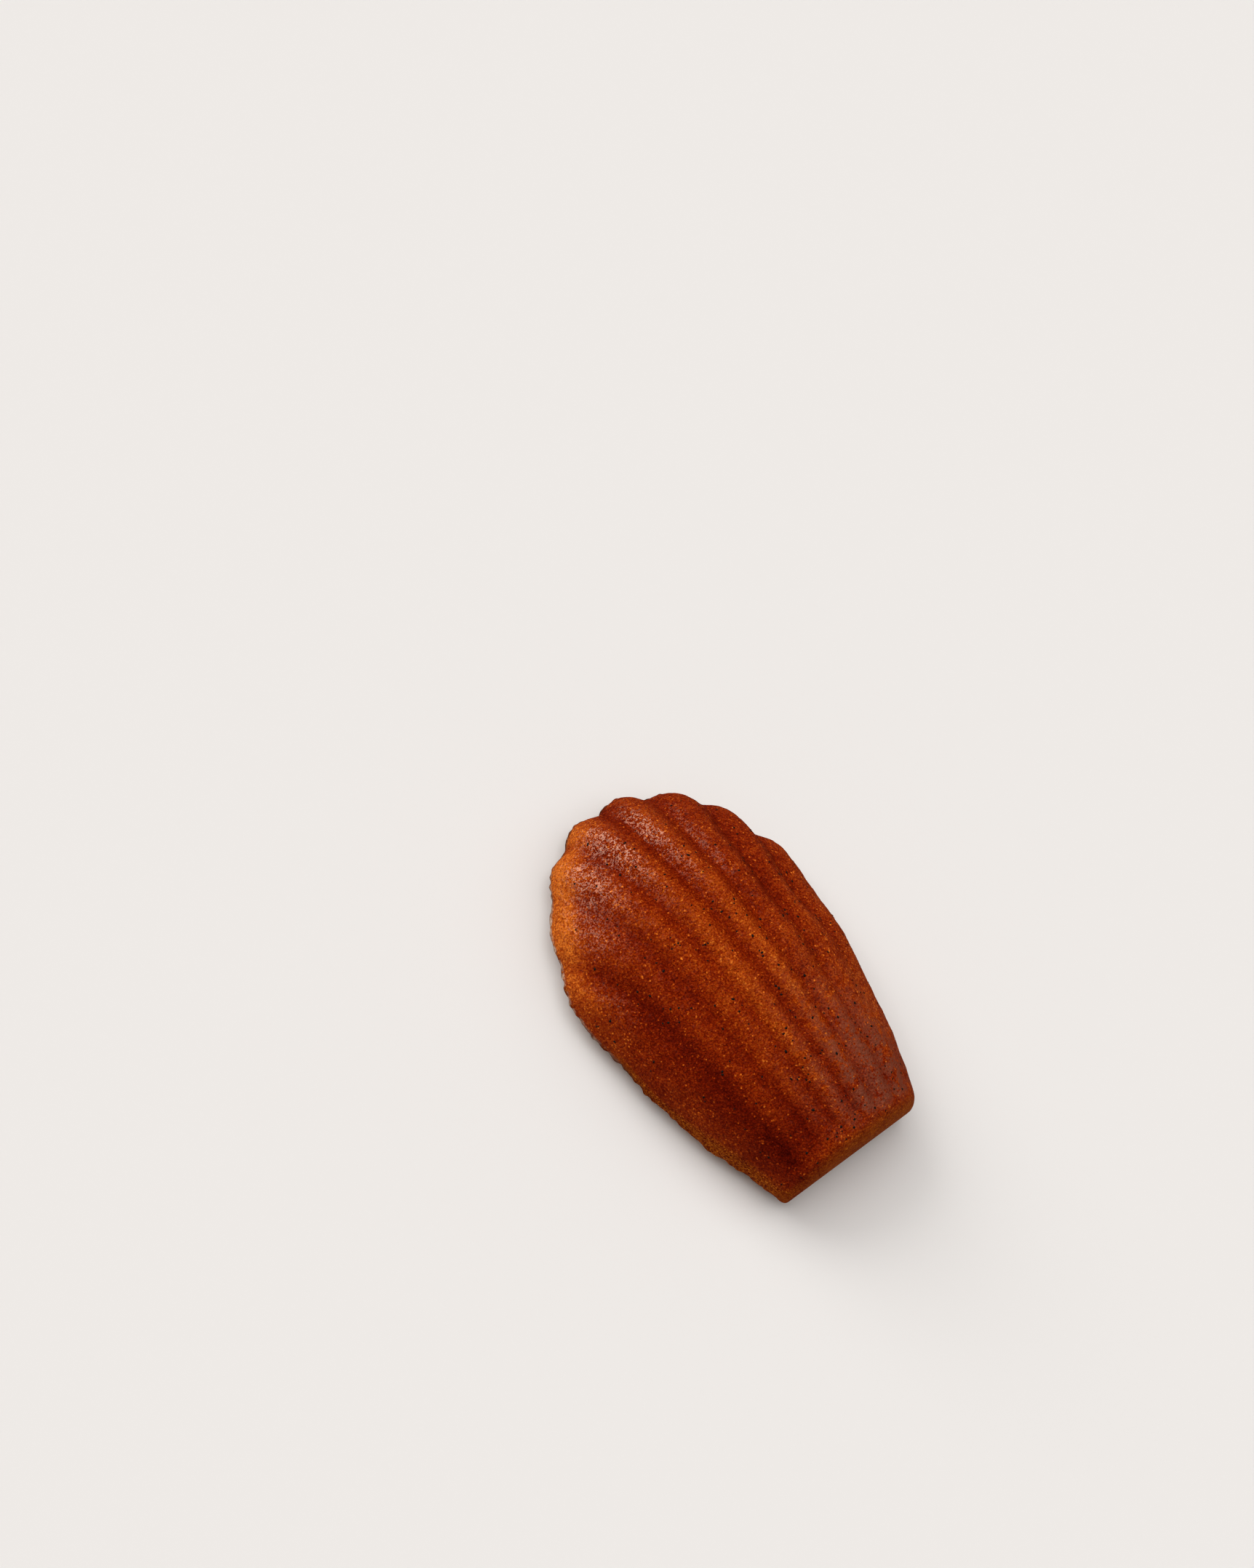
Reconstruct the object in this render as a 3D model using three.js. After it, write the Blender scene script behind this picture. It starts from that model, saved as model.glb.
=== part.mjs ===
// A shell-shaped sponge cake, one solid, in millimetres, lying shell side up.
// X runs across the cake, +Y points from the narrow end to the wide end, +Z is up.
// The origin is under the middle of the cake, on the surface that it rests on.
import * as THREE from "three";

// Outline, seen from above.
const LENGTH = 76;
const HALF_WIDTH = 25.1;
const END_HALF_WIDTH = 15.3;
const WIDEST_AT = 0.61;
const LEFT_WIDEST_AT = 0.58;
const SIDE_CURVE = 1.7;
const CORNER_RADIUS = 1.8;

// Height of the shell above its rim.
const SHELL_HEIGHT = 18.5;
const CREST_AT = 0.46;
const END_DROP = 0.28;
const ARCH_POWER = 2.2;
const END_DEPTH = 4;
const END_SHARPNESS = 2.8;

// Ribs and the grooves between them. The middle groove runs along the centre line.
const RIB_COUNT = 8;
const END_SPREAD = 0.15;
const FAN_SHARPNESS = 6;
const GROOVE_SHARPNESS = 0.7;
const END_GROOVE_DEPTH = 0.6;
const MIDDLE_GROOVE_DEPTH = 0.8;
const WIDE_GROOVE_DEPTH = 1.3;
const WIDE_DEPTH_AT = 0.85;
const RELIEF_STARTS_AT = 0.02;
const RELIEF_FULL_AT = 0.08;

// The grooves are shallower on the left half, and die out low on both flanks.
const LEFT_STRENGTH = 0.5;
const LEFT_FADE_FROM = -0.1;
const LEFT_FADE_TO = -0.6;
const FLANK_FADE_FROM = 0.8;
const FLANK_FADE_TO = 0.95;
const NARROW_FLANK_FROM = 0.35;
const NARROW_FLANK_TO = 0.7;
const NARROW_FLANK_STRENGTH = 0.25;

// Low baked belly under the rim, with a flat spot in its middle.
const BELLY_DEPTH = 3.5;
const FLAT_SPOT_SHARE = 0.45;
const BELLY_CURVE = 2.2;

// Grid of the faceted solid.
const ROWS = 40;
const COLUMNS = 64;
const BELLY_RINGS = 5;
const ROW_CROWDING = 1.25;
const COLUMN_CROWDING = 1.3;

const CRUST_COLOUR = 0x8a3a12;
const CRUST_ROUGHNESS = 0.5;

const { clamp, lerp, smoothstep } = THREE.MathUtils;
const narrowY = -LENGTH / 2;
const widestY = narrowY + WIDEST_AT * LENGTH;
const arcLength = LENGTH / 2 - widestY;

// Half of the width at a share u of the way from the narrow end to the widest place.
function halfWidth(u) {
  return HALF_WIDTH - (HALF_WIDTH - END_HALF_WIDTH) * (1 - u) ** SIDE_CURVE;
}

// How far the narrow end is drawn back: a quarter circle at each corner.
function cornerStep(v) {
  const into = clamp(((Math.abs(v) - 1) * END_HALF_WIDTH) / CORNER_RADIUS + 1, 0, 1);
  return CORNER_RADIUS * (1 - Math.sqrt(1 - into ** 2));
}

// Place on the ground plan. u runs from the narrow end (0) to the wide rim (1), v runs
// across from the left side (-1) to the right side (1). Lines of equal v are the ribs.
// The wide rim is half an ellipse, whose left half starts sooner than its right half.
function planPlace(u, v) {
  const along = v + END_SPREAD * (v - v ** 3) * (1 - u);
  const fanned = Math.sin((v * Math.PI) / 2);
  const across = lerp(along, fanned, u ** FAN_SHARPNESS);
  const sideEnd = narrowY + (v < 0 ? LEFT_WIDEST_AT : WIDEST_AT) * LENGTH;
  const wideEdge = sideEnd + (LENGTH / 2 - sideEnd) * Math.cos((v * Math.PI) / 2);
  return new THREE.Vector2(halfWidth(u) * across, lerp(narrowY + cornerStep(v), wideEdge, u));
}

// Height of the middle line: a gentle rise to the crest, then a quarter ellipse to the rim.
function crestHeight(u) {
  if (u < CREST_AT) {
    return SHELL_HEIGHT * (1 - END_DROP * ((CREST_AT - u) / CREST_AT) ** 2);
  }
  const fall = clamp((u - CREST_AT) / (1 - CREST_AT), 0, 1);
  return SHELL_HEIGHT * Math.sqrt(1 - fall ** 2);
}

// Height over the rim: the arch across the cake, times a superellipse that rises over the wall at
// the narrow end and is full at END_DEPTH from it.
function shellHeight(u, v, distanceIn) {
  const arch = crestHeight(u) * Math.sqrt(Math.max(1 - Math.abs(v) ** ARCH_POWER, 0));
  const leftToGo = clamp(1 - distanceIn / END_DEPTH, 0, 1);
  return arch * (1 - leftToGo ** END_SHARPNESS) ** (1 / END_SHARPNESS);
}

// Depth of the grooves, which grows from the narrow end to the wide rim.
function grooveDepth(u) {
  const towardsMiddle = smoothstep(u, RELIEF_FULL_AT, CREST_AT);
  const towardsRim = smoothstep(u, CREST_AT, WIDE_DEPTH_AT);
  return lerp(lerp(END_GROOVE_DEPTH, MIDDLE_GROOVE_DEPTH, towardsMiddle), WIDE_GROOVE_DEPTH, towardsRim);
}

// Share of that depth that is there: none in the end wall, and less on the left and low down.
function grooveStrength(u, v) {
  const begins = smoothstep(u, RELIEF_STARTS_AT, RELIEF_FULL_AT);
  const fades = 1 - smoothstep(Math.abs(v), FLANK_FADE_FROM, FLANK_FADE_TO);
  const left = smoothstep(-v, -LEFT_FADE_FROM, -LEFT_FADE_TO);
  const flank = smoothstep(Math.abs(v), NARROW_FLANK_FROM, NARROW_FLANK_TO);
  const narrow = 1 - smoothstep(u, RELIEF_FULL_AT, WIDE_DEPTH_AT);
  return begins * fades * lerp(1, LEFT_STRENGTH, left) * lerp(1, NARROW_FLANK_STRENGTH, flank * narrow);
}

// How far the surface sinks between two ribs: nothing on a rib, all of the depth in a groove.
function grooveSink(u, v) {
  const ribs = (0.5 - 0.5 * Math.cos(v * RIB_COUNT * Math.PI)) ** GROOVE_SHARPNESS;
  return grooveDepth(u) * grooveStrength(u, v) * (1 - ribs);
}

// Outward direction of the smooth hull, taken from the ellipsoid that it resembles. It is
// level at the rim, so that the grooves scallop the rim and leave its height alone.
function outward(u, place, height) {
  const beyondWidest = Math.max(place.y - widestY, 0);
  return new THREE.Vector3(
    place.x / halfWidth(u) ** 2,
    beyondWidest / arcLength ** 2,
    height / SHELL_HEIGHT ** 2,
  ).normalize();
}

// A point of the ribbed shell, above the rim.
function shellPoint(u, v) {
  const place = planPlace(u, v);
  const height = shellHeight(u, v, place.y - narrowY - cornerStep(v));
  const point = new THREE.Vector3(place.x, place.y, height + BELLY_DEPTH);
  return point.addScaledVector(outward(u, place, height), -grooveSink(u, v));
}

// A point of the belly: the rim's point drawn in towards the middle, and lowered.
function bellyPoint(rimPoint, share) {
  const slope = clamp((share - FLAT_SPOT_SHARE) / (1 - FLAT_SPOT_SHARE), 0, 1);
  return new THREE.Vector3(rimPoint.x * share, rimPoint.y * share, BELLY_DEPTH * slope ** BELLY_CURVE);
}

// Grid lines crowd together where the shell turns steep, at both ends and at both sides.
function rowShare(row) {
  return (0.5 - 0.5 * Math.cos((row / ROWS) * Math.PI)) ** ROW_CROWDING;
}

function columnShare(column) {
  const even = (2 * column) / COLUMNS - 1;
  return Math.sin(COLUMN_CROWDING * even) / Math.sin(COLUMN_CROWDING);
}

// Numbers of the grid's outer points, once round the rim, anticlockwise from above.
function rimLoop() {
  const at = (row, column) => row * (COLUMNS + 1) + column;
  const loop = [];
  for (let column = 0; column < COLUMNS; column += 1) loop.push(at(0, column));
  for (let row = 0; row < ROWS; row += 1) loop.push(at(row, COLUMNS));
  for (let column = COLUMNS; column > 0; column -= 1) loop.push(at(ROWS, column));
  for (let row = ROWS; row > 0; row -= 1) loop.push(at(row, 0));
  return loop;
}

// The ribbed shell as one grid of points and triangles.
function addShell(points, faces) {
  for (let row = 0; row <= ROWS; row += 1) {
    for (let column = 0; column <= COLUMNS; column += 1) {
      points.push(shellPoint(rowShare(row), columnShare(column)));
    }
  }
  for (let row = 0; row < ROWS; row += 1) {
    for (let column = 0; column < COLUMNS; column += 1) {
      const first = row * (COLUMNS + 1) + column;
      const above = first + COLUMNS + 1;
      faces.push(first, first + 1, above + 1, first, above + 1, above);
    }
  }
}

// The belly as rings that shrink from the rim to the edge of the flat spot, and a fan.
function addBelly(points, faces) {
  const rim = rimLoop();
  let outer = rim;
  for (let ring = 1; ring <= BELLY_RINGS; ring += 1) {
    const share = lerp(1, FLAT_SPOT_SHARE, ring / BELLY_RINGS);
    const inner = rim.map((number) => points.push(bellyPoint(points[number], share)) - 1);
    for (let step = 0; step < rim.length; step += 1) {
      const next = (step + 1) % rim.length;
      faces.push(outer[step], inner[next], outer[next], outer[step], inner[step], inner[next]);
    }
    outer = inner;
  }
  const middle = points.push(new THREE.Vector3(0, 0, 0)) - 1;
  for (let step = 0; step < outer.length; step += 1) {
    faces.push(outer[step], middle, outer[(step + 1) % outer.length]);
  }
}

// The closed solid, moved so that the origin is under the middle of its box.
function cakeGeometry() {
  const points = [];
  const faces = [];
  addShell(points, faces);
  addBelly(points, faces);
  const geometry = new THREE.BufferGeometry().setFromPoints(points);
  geometry.setIndex(faces);
  geometry.computeBoundingBox();
  const middle = geometry.boundingBox.getCenter(new THREE.Vector3());
  geometry.translate(-middle.x, -middle.y, 0);
  geometry.computeVertexNormals();
  return geometry;
}

const crust = new THREE.MeshStandardMaterial({
  color: CRUST_COLOUR,
  roughness: CRUST_ROUGHNESS,
  metalness: 0,
});
const cake = new THREE.Mesh(cakeGeometry(), crust);
cake.name = "cake";

const part = new THREE.Group();
part.add(cake);

export default part;
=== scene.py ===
import math

import bpy
import numpy as np
from mathutils import Matrix, Vector


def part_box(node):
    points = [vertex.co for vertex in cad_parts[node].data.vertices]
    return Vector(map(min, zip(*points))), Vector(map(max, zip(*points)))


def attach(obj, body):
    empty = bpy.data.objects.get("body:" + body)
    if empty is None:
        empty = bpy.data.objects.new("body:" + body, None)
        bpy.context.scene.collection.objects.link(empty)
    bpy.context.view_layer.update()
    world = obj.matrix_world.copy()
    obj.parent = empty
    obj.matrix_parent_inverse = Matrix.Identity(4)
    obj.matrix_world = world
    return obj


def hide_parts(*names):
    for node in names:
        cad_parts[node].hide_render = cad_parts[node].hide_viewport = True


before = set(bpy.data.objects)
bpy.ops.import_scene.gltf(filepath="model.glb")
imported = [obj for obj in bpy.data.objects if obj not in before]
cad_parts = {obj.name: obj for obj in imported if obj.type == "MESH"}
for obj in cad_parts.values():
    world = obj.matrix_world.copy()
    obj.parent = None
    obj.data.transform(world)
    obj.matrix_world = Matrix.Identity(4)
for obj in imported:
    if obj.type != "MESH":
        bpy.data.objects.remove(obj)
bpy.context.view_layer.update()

bl_info = {
    "name": "Shell Cake",
    "version": (1, 0, 0),
    "blender": (4, 5, 0),
    "location": "View3D > Sidebar > Shell Cake",
    "description": "Makes a browned, shell-shaped sponge cake with vanilla specks, in a plain studio",
    "category": "Object",
}

MM = 0.001
CAKE_LOW, CAKE_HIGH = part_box("cake")
CAKE_SIZE = CAKE_HIGH - CAKE_LOW


# ---------------------------------------------------------------- settings

def length(name, description, default):
    """A length in metres that the sidebar can change."""
    return bpy.props.FloatProperty(
        name=name, description=description, default=default, precision=5, unit="LENGTH", subtype="DISTANCE")


def share(name, description, default):
    """A number between 0 and 1 that the sidebar can change."""
    return bpy.props.FloatProperty(
        name=name, description=description, default=default, min=0.0, max=1.0, subtype="FACTOR")


def number(name, description, default):
    """A plain number that the sidebar can change."""
    return bpy.props.FloatProperty(name=name, description=description, default=default, precision=3)


def count(name, description, default):
    """A whole number that the sidebar can change."""
    return bpy.props.IntProperty(name=name, description=description, default=default, min=1)


def angle(name, description, degrees):
    """An angle that the sidebar shows in degrees."""
    return bpy.props.FloatProperty(
        name=name, description=description, default=math.radians(degrees), unit="ROTATION", subtype="ANGLE")


def colour(name, description, red, green, blue):
    """A scene-linear colour that the sidebar can change."""
    return bpy.props.FloatVectorProperty(
        name=name, description=description, default=(red, green, blue), size=3, min=0.0, max=1.0,
        subtype="COLOR")


class CakeShape(bpy.types.PropertyGroup):
    """Sizes of the cake. They agree with the solid in the frame."""
    length: length("Length", "From the narrow end to the arc through the wide rim's ribs", 76 * MM)
    width: length("Width", "Across the widest place of the rim", CAKE_SIZE.x)
    end_width: length("End width", "Across the narrow end", 30.6 * MM)
    widest_at: share("Widest at", "Share of the length where the right side ends", 0.61)
    left_widest_at: share("Left widest at", "Share of the length where the left side ends", 0.58)
    side_curve: number("Side curve", "Power of the curve that the sides follow", 1.7)
    corner_radius: length("Corner radius", "Rounding of the narrow end's two corners", 1.8 * MM)
    shell_height: length("Shell height", "Height of the crest above the rim", 18.5 * MM)
    crest_at: share("Crest at", "Share of the length where the crest is highest", 0.46)
    end_drop: share("End drop", "Share of the height lost at the narrow end", 0.28)
    arch_power: number("Arch power", "Power of the arch across the cake", 2.2)
    end_depth: length("End depth", "How far in from the narrow end the rounding over its wall ends", 4 * MM)
    end_sharpness: number("End sharpness", "Power of the rounding over the end wall", 2.8)
    rib_count: count("Ribs", "Ribs across the shell", 8)
    end_spread: number("End spread", "How much wider the middle ribs are at the narrow end", 0.15)
    fan_sharpness: number("Fan sharpness", "How late the ribs turn outwards to the wide rim", 6)
    groove_sharpness: number("Groove sharpness", "Power of the groove's section", 0.7)
    end_groove: length("End groove depth", "Depth of the grooves near the narrow end", 0.6 * MM)
    middle_groove: length("Middle groove depth", "Depth of the grooves at the crest", 0.8 * MM)
    wide_groove: length("Wide groove depth", "Depth of the grooves near the wide rim", 1.3 * MM)
    left_strength: share("Left strength", "Share of the groove depth that is left on the left half", 0.5)
    flank_strength: share("Flank strength", "Share of the groove depth low on the narrow flanks", 0.25)
    belly_depth: length("Belly depth", "Height of the rim above the table", 3.5 * MM)
    flat_share: share("Flat spot", "Size of the flat spot underneath as a share of the outline", 0.45)
    belly_curve: number("Belly curve", "Power of the belly's rise to the rim", 2.2)


class CakeSurface(bpy.types.PropertyGroup):
    """Unevenness of the baked surface, and how finely it is meshed."""
    rows: count("Rows", "Grid rows from the narrow end to the wide rim", 240)
    columns: count("Columns", "Grid columns across the shell", 300)
    belly_rings: count("Belly rings", "Rings of the belly from the rim to the flat spot", 20)
    swell: length("Swell", "Height of the broad unevenness", 0.18 * MM)
    swell_size: length("Swell size", "Spacing of the broad unevenness", 17 * MM)
    dimple: length("Dimple", "Height of the dimples", 0.03 * MM)
    dimple_size: length("Dimple size", "Spacing of the dimples", 4.2 * MM)
    pebble: length("Pebble", "Height of the fine pebbling", 0.018 * MM)
    pebble_size: length("Pebble size", "Spacing of the fine pebbling", 1.3 * MM)
    lip: length("Lip", "How far the thin crust line stands out along the rim", 0.2 * MM)
    lip_height: length("Lip height", "Height of the crust line along the rim", 0.7 * MM)
    lip_ripple: length("Lip ripple", "Spacing of the crust line's unevenness", 1.6 * MM)
    belly_swell: length("Belly swell", "Height of the belly's broad unevenness", 0.25 * MM)
    belly_swell_size: length("Belly swell size", "Spacing of the belly's broad unevenness", 9 * MM)
    belly_dimple: length("Belly dimple", "Height of the belly's dimples", 0.05 * MM)
    belly_dimple_size: length("Belly dimple size", "Spacing of the belly's dimples", 2 * MM)
    seed: count("Seed", "Seed of every random draw", 7)


class CakeColours(bpy.types.PropertyGroup):
    """Colours of the crust, from its darkest to its lightest, and of what differs from it."""
    # In the grooves and on the flanks the tone is pushed towards these dark stops partly by painted shade.
    dark: colour("Dark crust", "Darkest crust, nearly burnt", 0.055, 0.0012, 0.0002)
    deep: colour("Deep crust", "Dark red-brown crust in grooves and on flanks", 0.15, 0.0065, 0.0004)
    rib: colour("Rib", "Orange-brown crust on the ribs", 0.27, 0.02, 0.0009)
    # Inside the wide rim the tone reaches this stop partly through a painted glow.
    light: colour("Light crust", "Brighter orange crust inside the rim", 0.49, 0.072, 0.0045)
    fleck: colour("Fleck", "Lightest grains of the crust", 0.9, 0.22, 0.02)
    dry: colour("Dry crust", "Tan of the dry side band and end wall", 0.5, 0.13, 0.008)
    # Colour of the dull sheen of set butter, painted on the ribs near the narrow end.
    veil: colour("Veil", "Dull butter film on the ribs near the narrow end", 0.24, 0.055, 0.026)
    flake: colour("Flake", "Pale thin film along the rim, where batter crept up the mould", 0.75, 0.5, 0.36)
    gloss: colour("Gloss", "Tint of the buttery shine", 1.0, 0.7, 0.52)
    reflection: colour("Reflection", "Tint of the faint reflection under the shine", 1.0, 0.35, 0.15)
    lip: colour("Lip", "Dark brown edge of the rim", 0.07, 0.018, 0.004)
    belly: colour("Belly", "Golden-brown baked back", 0.42, 0.17, 0.035)
    belly_brown: colour("Browned belly", "Darker patches of the baked back", 0.24, 0.07, 0.012)
    speck: colour("Speck", "Vanilla seed", 0.004, 0.004, 0.004)
    speck_brown: colour("Brown speck", "Faint brown cast on parts of a vanilla seed", 0.012, 0.007, 0.005)


class Specks(bpy.types.PropertyGroup):
    """Vanilla seeds in the crust."""
    scattered: count("Scattered", "Seeds that lie on their own", 200)
    clusters: count("Clusters", "Places where a few seeds lie together", 16)
    in_cluster: count("In a cluster", "Seeds in each cluster", 3)
    smallest: length("Smallest", "Least radius of a seed", 0.14 * MM)
    largest: length("Largest", "Greatest radius of a seed", 0.25 * MM)
    stretch: number("Stretch", "Length over width of the longest seeds", 1.5)
    tip: length("Tip", "Height of a seed's tip above and below its middle", 0.1 * MM)
    corners: count("Corners", "Corners round a seed", 6)


class Studio(bpy.types.PropertyGroup):
    """Camera, floor and the even light from all round."""
    azimuth: angle("Azimuth", "Camera's bearing round the cake, 0 looking along +Y", -76.5)
    elevation: angle("Elevation", "Camera's height above the horizon", 64.9)
    roll: angle("Roll", "Camera's turn about its line of sight", 41.3)
    distance: length("Distance", "From the camera to the point aimed at", 705.3 * MM)
    aim_x: length("Aim X", "Point on the floor aimed at", 10.2 * MM)
    aim_y: length("Aim Y", "Point on the floor aimed at", 39.4 * MM)
    lens: number("Lens", "Focal length in millimetres on a 36 mm long side", 90)
    floor: colour("Floor", "Pale warm floor", 0.862, 0.843, 0.828)
    floor_width: length("Floor width", "Length of the floor's sides", 4.0)
    sky: colour("Sky", "Even light from all round", 1.0, 0.985, 0.97)
    sky_strength: number("Sky strength", "Strength of the even light", 0.22)
    lamp: colour("Lamp", "Colour of every light", 1.0, 0.98, 0.96)


def settings(name):
    """One of the scene's groups of settings."""
    return getattr(bpy.context.scene, name)


# ---------------------------------------------------------------- shape

# A pair is where a smooth step starts and ends, along u or as a distance in v from the middle line.
RELIEF_FULL = 0.08
WIDE_DEPTH_AT = 0.85
GROOVES_BEGIN = (0.02, RELIEF_FULL)
GROOVES_FADE = (0.8, 0.95)
LEFT_HALF = (0.1, 0.6)
LOW_FLANK = (0.35, 0.7)
LIP_BEGINS = (0.02, 0.1)

# The lip's mean height and how far that varies, as shares of the full lip.
LIP_MEAN = 0.6
LIP_SPREAD = 0.5

RIPPLE_WAVES = 28
SHORTEST_WAVE = 0.7
LONGEST_WAVE = 1.5
ROW_CROWDING = 1.25
COLUMN_CROWDING = 1.35
NORMAL_STEP = 1e-3
TINY = 1e-12


def smooth_step(value, start, end):
    """0 before start, 1 after end, and 3t^2 - 2t^3 in between."""
    t = np.clip((value - start) / (end - start), 0, 1)
    return t * t * (3 - 2 * t)


def mix(a, b, t):
    """a where t is 0, b where t is 1, and a straight line in between."""
    return a + (b - a) * t


def ripple(points, size, seed):
    """Smooth random unevenness with unit spread: the sum of sine waves that cross space in random
    directions, with wavelengths a little shorter or longer than size and random starts."""
    rng = np.random.default_rng(seed)
    direction = rng.normal(size=(RIPPLE_WAVES, 3))
    direction /= np.linalg.norm(direction, axis=1, keepdims=True)
    wavelength = size * rng.uniform(SHORTEST_WAVE, LONGEST_WAVE, size=(RIPPLE_WAVES, 1))
    phase = rng.uniform(0, 2 * math.pi, size=RIPPLE_WAVES)
    angles = points.reshape(-1, 3) @ (direction * 2 * math.pi / wavelength).T + phase
    total = np.sin(angles).sum(axis=1) * math.sqrt(2 / RIPPLE_WAVES)
    return total.reshape(points.shape[:-1])


def unit(vectors):
    """The same directions with length 1."""
    return vectors / np.maximum(np.linalg.norm(vectors, axis=-1, keepdims=True), TINY)


class Shell:
    """The ribbed shell as a function of u, from the narrow end (0) to the wide rim (1), and v, across
    from the left side (-1) to the right side (1)."""

    def __init__(self, shape, surface):
        self.shape = shape
        self.surface = surface
        self.narrow_y = -shape.length / 2
        self.widest_y = self.narrow_y + shape.widest_at * shape.length
        self.arc = shape.length / 2 - self.widest_y
        self.shift_y = CAKE_LOW.y - self.narrow_y

    def half_width(self, u):
        """Half the width: the widest less a power of the share of the way left to go."""
        shape = self.shape
        return shape.width / 2 - (shape.width - shape.end_width) / 2 * (1 - u) ** shape.side_curve

    def corner(self, v):
        """How far the narrow end is drawn back: a quarter circle at each corner."""
        shape = self.shape
        into = (np.abs(v) - 1) * shape.end_width / 2 / shape.corner_radius + 1
        return shape.corner_radius * (1 - np.sqrt(1 - np.clip(into, 0, 1) ** 2))

    def plan(self, u, v):
        """Place seen from above. Across, a straight share of the half width turns into its sine near the
        wide rim. Along, a straight line joins the narrow end to the half ellipse of the wide rim, whose
        left half starts sooner than its right half."""
        shape = self.shape
        along = v + shape.end_spread * (v - v ** 3) * (1 - u)
        fanned = np.sin(v * math.pi / 2)
        x = self.half_width(u) * mix(along, fanned, u ** shape.fan_sharpness)
        side_end = self.narrow_y + shape.length * np.where(v < 0, shape.left_widest_at, shape.widest_at)
        wide = side_end + (shape.length / 2 - side_end) * np.cos(v * math.pi / 2)
        y = mix(self.narrow_y + self.corner(v), wide, u)
        return x, y

    def height(self, u, v, y):
        """Height over the rim. The crest is a parabola up to its highest place and a quarter ellipse after
        it. The arch across and the wall at the narrow end are superellipses."""
        shape = self.shape
        before = 1 - shape.end_drop * ((shape.crest_at - u) / shape.crest_at) ** 2
        fall = np.clip((u - shape.crest_at) / (1 - shape.crest_at), 0, 1)
        crest = shape.shell_height * np.where(u < shape.crest_at, before, np.sqrt(1 - fall ** 2))
        arch = crest * np.sqrt(np.clip(1 - np.abs(v) ** shape.arch_power, 0, 1))
        left_to_go = np.clip(1 - (y - self.narrow_y - self.corner(v)) / shape.end_depth, 0, 1)
        return arch * (1 - left_to_go ** shape.end_sharpness) ** (1 / shape.end_sharpness)

    def hull(self, u, v):
        """The smooth hull without ribs, in metres, before its shift along Y."""
        x, y = self.plan(u, v)
        return np.stack([x, y, self.height(u, v, y) + self.shape.belly_depth], axis=-1)

    def outward(self, u, hull):
        """Direction away from the ellipsoid that the hull resembles: each coordinate over its squared
        half axis. It is level at the rim."""
        shape = self.shape
        return unit(np.stack([
            hull[..., 0] / self.half_width(u) ** 2,
            np.maximum(hull[..., 1] - self.widest_y, 0) / self.arc ** 2,
            self.above(hull) / shape.shell_height ** 2,
        ], axis=-1))

    def groove(self, v):
        """1 in the middle of a groove and 0 on a rib: one less a power of a raised cosine."""
        cosine = np.cos(v * self.shape.rib_count * math.pi)
        return 1 - np.clip(0.5 - 0.5 * cosine, 0, 1) ** self.shape.groove_sharpness

    def reach(self, u, v):
        """Share of the groove depth that is there: none in the end wall, less on the left half, less low on
        the narrow flanks, and none along the sides."""
        shape = self.shape
        begins = smooth_step(u, *GROOVES_BEGIN)
        fades = 1 - smooth_step(np.abs(v), *GROOVES_FADE)
        left = smooth_step(-v, *LEFT_HALF)
        low = smooth_step(np.abs(v), *LOW_FLANK) * (1 - smooth_step(u, RELIEF_FULL, WIDE_DEPTH_AT))
        return begins * fades * mix(1, shape.left_strength, left) * mix(1, shape.flank_strength, low)

    def groove_depth(self, u):
        """Depth of the grooves, which grows from the narrow end to the wide rim."""
        shape = self.shape
        narrow = mix(shape.end_groove, shape.middle_groove, smooth_step(u, RELIEF_FULL, shape.crest_at))
        return mix(narrow, shape.wide_groove, smooth_step(u, shape.crest_at, WIDE_DEPTH_AT))

    def above(self, hull):
        """Height above the rim."""
        return hull[..., 2] - self.shape.belly_depth

    def lip_profile(self, hull):
        """1 at the rim's edge, falling off as a bell curve of the height above it."""
        return np.exp(-(self.above(hull) / self.surface.lip_height) ** 2)

    def points(self, u, v):
        """The whole surface: the hull, less the grooves, with swells, dimples, pebbles and the rough lip
        added along the outward direction, and nothing below the rim."""
        surface = self.surface
        hull = self.hull(u, v)
        rise = -self.groove_depth(u) * self.reach(u, v) * self.groove(v)
        rise = rise + surface.swell * ripple(hull, surface.swell_size, surface.seed)
        rise = rise + surface.dimple * ripple(hull, surface.dimple_size, surface.seed + 1)
        rise = rise + surface.pebble * ripple(hull, surface.pebble_size, surface.seed + 2)
        rough = LIP_MEAN + LIP_SPREAD * ripple(hull, surface.lip_ripple, surface.seed + 3)
        rise = rise + surface.lip * self.lip_profile(hull) * rough * smooth_step(u, *LIP_BEGINS)
        points = hull + self.outward(u, hull) * rise[..., None]
        points[..., 1] += self.shift_y
        points[..., 2] = np.maximum(points[..., 2], self.shape.belly_depth)
        return points

    def normals(self, u, v):
        """Unit normals from the cross product of the surface's steps along u and across v."""
        ahead, behind = np.clip(u + NORMAL_STEP, 0, 1), np.clip(u - NORMAL_STEP, 0, 1)
        right, left = np.clip(v + NORMAL_STEP, -1, 1), np.clip(v - NORMAL_STEP, -1, 1)
        along = self.points(ahead, v) - self.points(behind, v)
        across = self.points(u, right) - self.points(u, left)
        return unit(np.cross(across, along))


def crowded_rows(steps):
    """Shares from 0 to 1 that crowd together at both ends: half of one less a cosine, to a power."""
    return (0.5 - 0.5 * np.cos(np.linspace(0, math.pi, steps + 1))) ** ROW_CROWDING


def crowded_columns(steps):
    """Shares from -1 to 1 that crowd together a little at both sides: a stretched sine."""
    return np.sin(np.linspace(-COLUMN_CROWDING, COLUMN_CROWDING, steps + 1)) / math.sin(COLUMN_CROWDING)


def grid_numbers(rows, columns):
    """Numbers of a grid of (rows + 1) by (columns + 1) points."""
    return np.arange((rows + 1) * (columns + 1)).reshape(rows + 1, columns + 1)


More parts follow.
